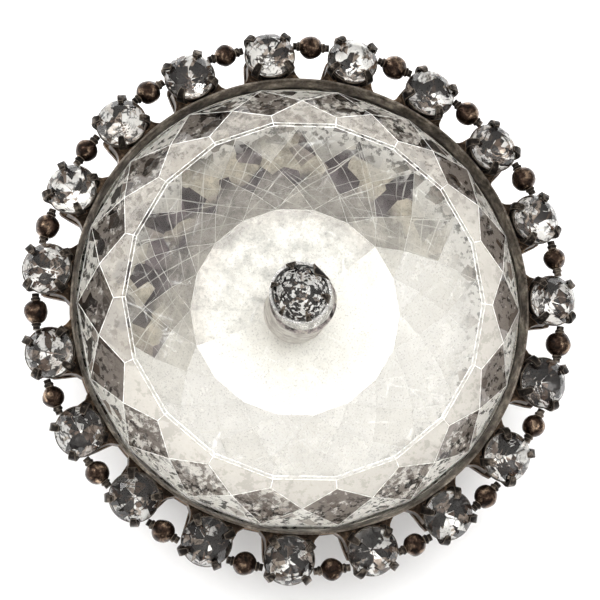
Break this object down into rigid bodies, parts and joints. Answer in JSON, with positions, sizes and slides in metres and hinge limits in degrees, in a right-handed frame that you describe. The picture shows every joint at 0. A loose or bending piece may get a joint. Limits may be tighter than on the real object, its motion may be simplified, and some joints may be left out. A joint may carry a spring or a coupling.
{
  "type": "sew on button",
  "caption": "Round dress button: a large faceted glass stone in a metal pan, a claw-set rhinestone border with metal balls, and a sewing eye behind.",
  "frame": {"origin": "centre of the sewing eye's hole, on the button's axis", "axes": "+Z out of the button's face, +X along the hole of the sewing eye, +Y towards the top of the face"},
  "size_m": [0.035, 0.035, 0.0153],
  "materials": {
    "pan_metal": "aged brown brass, rubbed light on the rim",
    "frame_metal": "aged dark brown brass",
    "cup_metal": "tarnished plate, nearly black on the claws",
    "bead_metal": "reddish brown, polished on top",
    "center_metal": "silvered, bright on its rim",
    "rivet_metal": "dull brown grey",
    "shank_metal": "aged brass with worn edges",
    "foil": "bright foil, slightly yellowed",
    "large_glass": "clear cut glass with fine scratches",
    "rhinestone_glass": "clear cut glass, foiled behind"
  },
  "bodies": {
    "root": {"bezel_pan": "pan_metal", "foil_liner": "foil", "glass_stone": "large_glass", "center_rivet": "rivet_metal", "center_cup": "center_metal", "center_rhinestone": "rhinestone_glass", "border_frame": "frame_metal", "bead_links": "bead_metal", "shank_base": "shank_metal", "shank_loop": "shank_metal", "setting_01": "cup_metal", "setting_02": "cup_metal", "setting_03": "cup_metal", "setting_04": "cup_metal", "setting_05": "cup_metal", "setting_06": "cup_metal", "setting_07": "cup_metal", "setting_08": "cup_metal", "setting_09": "cup_metal", "setting_10": "cup_metal", "setting_11": "cup_metal", "setting_12": "cup_metal", "setting_13": "cup_metal", "setting_14": "cup_metal", "setting_15": "cup_metal", "setting_16": "cup_metal", "setting_17": "cup_metal", "setting_18": "cup_metal", "setting_19": "cup_metal", "rhinestone_01": "rhinestone_glass", "rhinestone_02": "rhinestone_glass", "rhinestone_03": "rhinestone_glass", "rhinestone_04": "rhinestone_glass", "rhinestone_05": "rhinestone_glass", "rhinestone_06": "rhinestone_glass", "rhinestone_07": "rhinestone_glass", "rhinestone_08": "rhinestone_glass", "rhinestone_09": "rhinestone_glass", "rhinestone_10": "rhinestone_glass", "rhinestone_11": "rhinestone_glass", "rhinestone_12": "rhinestone_glass", "rhinestone_13": "rhinestone_glass", "rhinestone_14": "rhinestone_glass", "rhinestone_15": "rhinestone_glass", "rhinestone_16": "rhinestone_glass", "rhinestone_17": "rhinestone_glass", "rhinestone_18": "rhinestone_glass", "rhinestone_19": "rhinestone_glass"}
  },
  "joints": []
}
